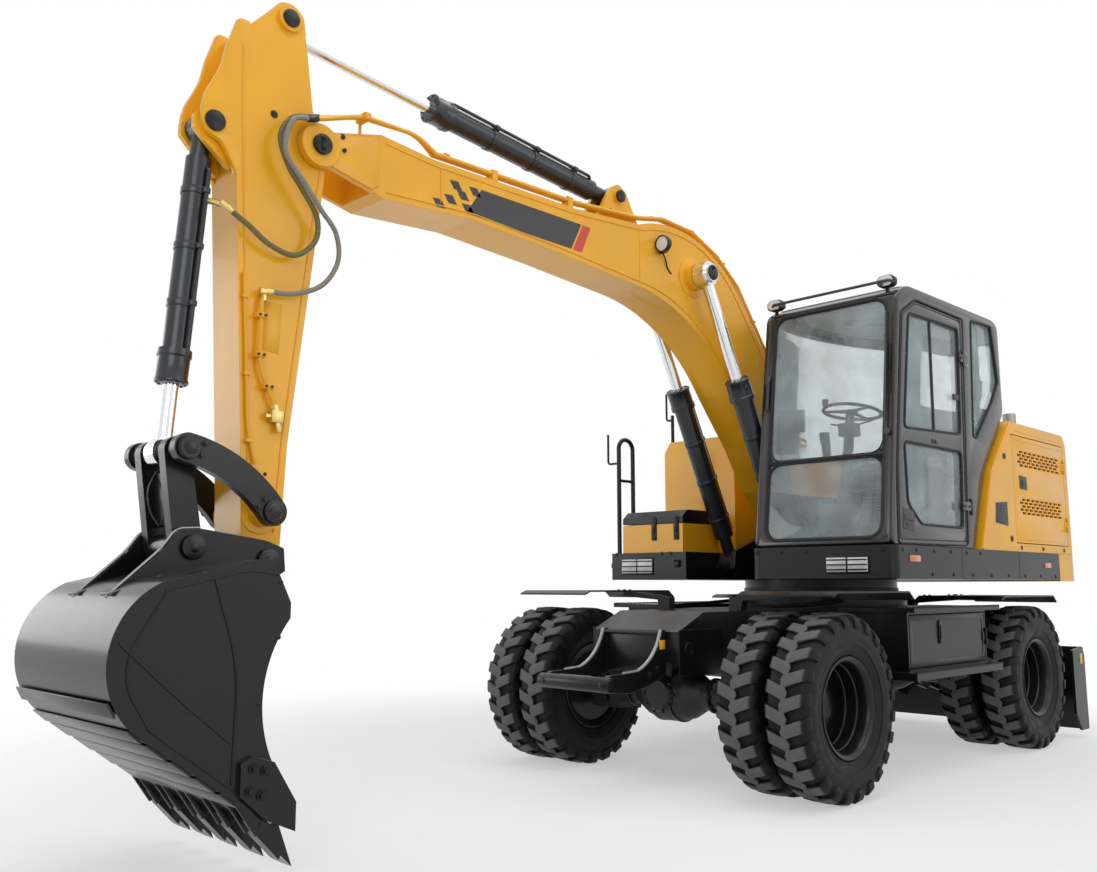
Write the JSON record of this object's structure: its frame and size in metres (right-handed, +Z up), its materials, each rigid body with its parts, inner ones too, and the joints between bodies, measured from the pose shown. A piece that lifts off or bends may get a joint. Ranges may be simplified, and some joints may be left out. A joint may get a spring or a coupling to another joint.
{
  "type": "wheeled excavator",
  "caption": "Wheeled excavator with twin wheels, slewing upper deck and cab, cranked boom, arm, bucket with teeth, rear dozer blade and hinged doors",
  "frame": {"origin": "on the ground, under the middle of the parked machine's box", "axes": "+X towards the bucket, +Y to the cab's side, +Z up"},
  "size_m": [7.6005, 2.507, 3.934],
  "materials": {
    "yellow": "gloss",
    "black": "satin",
    "steel": "worn",
    "chrome": "polished",
    "tyre": "matt",
    "glass": "clear",
    "seat": "woven",
    "plastic": "matt",
    "lamp": "clear"
  },
  "bodies": {
    "chassis": {"chassis_frame": "black", "front_guard": "black", "slew_ring": "black", "front_axle": "black", "rear_axle": "black", "driveline": "black", "fenders": "black", "side_steps": "black"},
    "locker_left": {"locker_door_left": "black"},
    "locker_right": {"locker_door_right": "black"},
    "blade_body": {"blade": "black"},
    "blade_barrels": {"blade_cylinder_barrels": "black"},
    "blade_rods": {"blade_cylinder_rods": "chrome"},
    "steer_left": {"knuckle_left": "black"},
    "steer_right": {"knuckle_right": "black"},
    "wheel_front_left": {"tyres_front_left": "tyre", "rims_front_left": "black"},
    "wheel_front_right": {"tyres_front_right": "tyre", "rims_front_right": "black"},
    "wheel_rear_left": {"tyres_rear_left": "tyre", "rims_rear_left": "black"},
    "wheel_rear_right": {"tyres_rear_right": "tyre", "rims_rear_right": "black"},
    "upper": {"platform": "black", "counterweight": "yellow", "engine_hood": "yellow", "engine_block": "black", "side_tank": "yellow", "tool_box": "yellow", "cab_frame": "black", "cab_glass": "glass", "cab_seat": "seat", "cab_controls": "plastic", "rails": "black", "lamps": "lamp"},
    "hood_left": {"hood_door_left": "yellow"},
    "hood_right": {"hood_door_right": "yellow"},
    "hood_top_lid": {"hood_lid": "yellow"},
    "box_lid": {"tool_box_lid": "black"},
    "cab_door_body": {"cab_door": "black", "door_glass": "glass"},
    "boom_body": {"boom": "yellow", "boom_pipes": "yellow"},
    "boom_barrel_left": {"boom_cylinder_barrel_left": "black"},
    "boom_barrel_right": {"boom_cylinder_barrel_right": "black"},
    "boom_rod_left": {"boom_cylinder_rod_left": "chrome"},
    "boom_rod_right": {"boom_cylinder_rod_right": "chrome"},
    "arm_body": {"arm": "yellow", "arm_pipes": "yellow"},
    "arm_barrel": {"arm_cylinder_barrel": "black"},
    "arm_rod": {"arm_cylinder_rod": "chrome"},
    "crowd_barrel": {"bucket_cylinder_barrel": "black"},
    "crowd_rod": {"bucket_cylinder_rod": "chrome"},
    "rocker": {"rocker_links": "black"},
    "link": {"bucket_link": "black"},
    "bucket_body": {"bucket": "black", "bucket_teeth": "steel"}
  },
  "joints": [
    {"name": "steering_left", "type": "hinge", "parent": "chassis", "child": "steer_left", "pos_m": [0.126, 0.59, 0.51], "axis": [0, 0, 1], "range_deg": [-27, 27]},
    {"name": "steering_right", "type": "hinge", "parent": "chassis", "child": "steer_right", "pos_m": [0.126, -0.59, 0.51], "axis": [0, 0, 1], "range_deg": [-28, 28]},
    {"name": "wheel_spin_front_left", "type": "hinge", "parent": "steer_left", "child": "wheel_front_left", "pos_m": [0.126, 0.935, 0.51], "axis": [0, 1, 0], "continuous": true},
    {"name": "wheel_spin_front_right", "type": "hinge", "parent": "steer_right", "child": "wheel_front_right", "pos_m": [0.126, -0.935, 0.51], "axis": [0, 1, 0], "continuous": true},
    {"name": "wheel_spin_rear_left", "type": "hinge", "parent": "chassis", "child": "wheel_rear_left", "pos_m": [-2.594, 0.935, 0.51], "axis": [0, 1, 0], "continuous": true},
    {"name": "wheel_spin_rear_right", "type": "hinge", "parent": "chassis", "child": "wheel_rear_right", "pos_m": [-2.594, -0.935, 0.51], "axis": [0, 1, 0], "continuous": true},
    {"name": "locker_door_left_hinge", "type": "hinge", "parent": "chassis", "child": "locker_left", "pos_m": [-1.874, 1.1283, 0.825], "axis": [0, 0, 1], "range_deg": [0, 100]},
    {"name": "locker_door_right_hinge", "type": "hinge", "parent": "chassis", "child": "locker_right", "pos_m": [-1.874, -1.1283, 0.825], "axis": [0, 0, -1], "range_deg": [0, 100]},
    {"name": "blade_lift", "type": "hinge", "parent": "chassis", "child": "blade_body", "pos_m": [-2.82, 0, 0.43], "axis": [0, 1, 0], "range_deg": [-10, 28]},
    {"name": "blade_cylinder_swing", "type": "hinge", "parent": "chassis", "child": "blade_barrels", "pos_m": [-2.94, 0, 0.96], "axis": [0, 1, 0], "range_deg": [-5, 5]},
    {"name": "blade_cylinder_stroke", "type": "slide", "parent": "blade_barrels", "child": "blade_rods", "axis": [-0.3644, 0, -0.9312], "range_m": [-0.16, 0.06]},
    {"name": "slew", "type": "hinge", "parent": "chassis", "child": "upper", "pos_m": [-1.64, 0, 1.15], "axis": [0, 0, 1], "continuous": true},
    {"name": "cab_door_hinge", "type": "hinge", "parent": "upper", "child": "cab_door_body", "pos_m": [-1.624, 1.1883, 2.2], "axis": [0, 0, 1], "range_deg": [0, 165]},
    {"name": "hood_door_left_hinge", "type": "hinge", "parent": "upper", "child": "hood_left", "pos_m": [-3.376, 1.2083, 1.87], "axis": [0, 0, 1], "range_deg": [0, 100]},
    {"name": "hood_door_right_hinge", "type": "hinge", "parent": "upper", "child": "hood_right", "pos_m": [-3.376, -1.2083, 1.87], "axis": [0, 0, -1], "range_deg": [0, 100]},
    {"name": "hood_lid_hinge", "type": "hinge", "parent": "upper", "child": "hood_top_lid", "pos_m": [-3.33, 0, 2.39], "axis": [0, -1, 0], "range_deg": [0, 70]},
    {"name": "tool_box_lid_hinge", "type": "hinge", "parent": "upper", "child": "box_lid", "pos_m": [-1.122, -0.83, 1.63], "axis": [0, -1, 0], "range_deg": [0, 80]},
    {"name": "boom_lift", "type": "hinge", "parent": "upper", "child": "boom_body", "pos_m": [-1.58, -0.15, 1.6], "axis": [0, -1, 0], "range_deg": [-50, 38]},
    {"name": "boom_cylinder_swing_left", "type": "hinge", "parent": "upper", "child": "boom_barrel_left", "pos_m": [-1.097, 0.105, 1.336], "axis": [0, -1, 0], "range_deg": [-55, 42]},
    {"name": "boom_cylinder_stroke_left", "type": "slide", "parent": "boom_barrel_left", "child": "boom_rod_left", "axis": [0.453, 0, 0.8915], "range_m": [-0.46, 0.36]},
    {"name": "boom_cylinder_swing_right", "type": "hinge", "parent": "upper", "child": "boom_barrel_right", "pos_m": [-1.097, -0.405, 1.336], "axis": [0, -1, 0], "range_deg": [-55, 42]},
    {"name": "boom_cylinder_stroke_right", "type": "slide", "parent": "boom_barrel_right", "child": "boom_rod_right", "axis": [0.453, 0, 0.8915], "range_m": [-0.46, 0.36]},
    {"name": "arm_swing", "type": "hinge", "parent": "boom_body", "child": "arm_body", "pos_m": [2.794, -0.15, 3.259], "axis": [0, 1, 0], "range_deg": [-66, 35]},
    {"name": "arm_cylinder_swing", "type": "hinge", "parent": "boom_body", "child": "arm_barrel", "pos_m": [0.541, -0.15, 3.64], "axis": [0, 1, 0], "range_deg": [-5, 5]},
    {"name": "arm_cylinder_stroke", "type": "slide", "parent": "arm_barrel", "child": "arm_rod", "axis": [0.9963, 0, 0.0863], "range_m": [-0.68, 0.37]},
    {"name": "bucket_curl", "type": "hinge", "parent": "arm_body", "child": "bucket_body", "pos_m": [3.008, -0.15, 1.274], "axis": [0, 1, 0], "range_deg": [-30, 130]},
    {"name": "rocker_swing", "type": "hinge", "parent": "arm_body", "child": "rocker", "pos_m": [3.019, -0.15, 1.484], "axis": [0, 1, 0], "range_deg": [-25, 103]},
    {"name": "bucket_link_swing", "type": "hinge", "parent": "bucket_body", "child": "link", "pos_m": [3.355, -0.15, 1.324], "axis": [0, 1, 0], "range_deg": [-68, 17]},
    {"name": "bucket_cylinder_swing", "type": "hinge", "parent": "arm_body", "child": "crowd_barrel", "pos_m": [3.317, -0.15, 3.223], "axis": [0, 1, 0], "range_deg": [-5, 5]},
    {"name": "bucket_cylinder_stroke", "type": "slide", "parent": "crowd_barrel", "child": "crowd_rod", "axis": [0.0701, 0, -0.9975], "range_m": [-0.18, 0.77]}
  ],
  "couplings": [
    {"joint": "steering_right", "follows": "steering_left", "ratio": 1},
    {"joint": "blade_cylinder_swing", "follows": "blade_lift", "ratio": -0.0285},
    {"joint": "blade_cylinder_stroke", "follows": "blade_lift", "m_per_rad": -0.3052},
    {"joint": "boom_cylinder_swing_left", "follows": "boom_lift", "ratio": 1.0428},
    {"joint": "boom_cylinder_swing_right", "follows": "boom_lift", "ratio": 1.0428},
    {"joint": "boom_cylinder_stroke_left", "follows": "boom_lift", "m_per_rad": 0.5132},
    {"joint": "boom_cylinder_stroke_right", "follows": "boom_lift", "m_per_rad": 0.5132},
    {"joint": "arm_cylinder_swing", "follows": "arm_swing", "ratio": 0.02},
    {"joint": "arm_cylinder_stroke", "follows": "arm_swing", "m_per_rad": 0.5785},
    {"joint": "rocker_swing", "follows": "bucket_curl", "ratio": 0.7827},
    {"joint": "bucket_link_swing", "follows": "bucket_curl", "ratio": -0.5141},
    {"joint": "bucket_cylinder_swing", "follows": "bucket_curl", "ratio": 0.0238},
    {"joint": "bucket_cylinder_stroke", "follows": "bucket_curl", "m_per_rad": 0.3347}
  ]
}
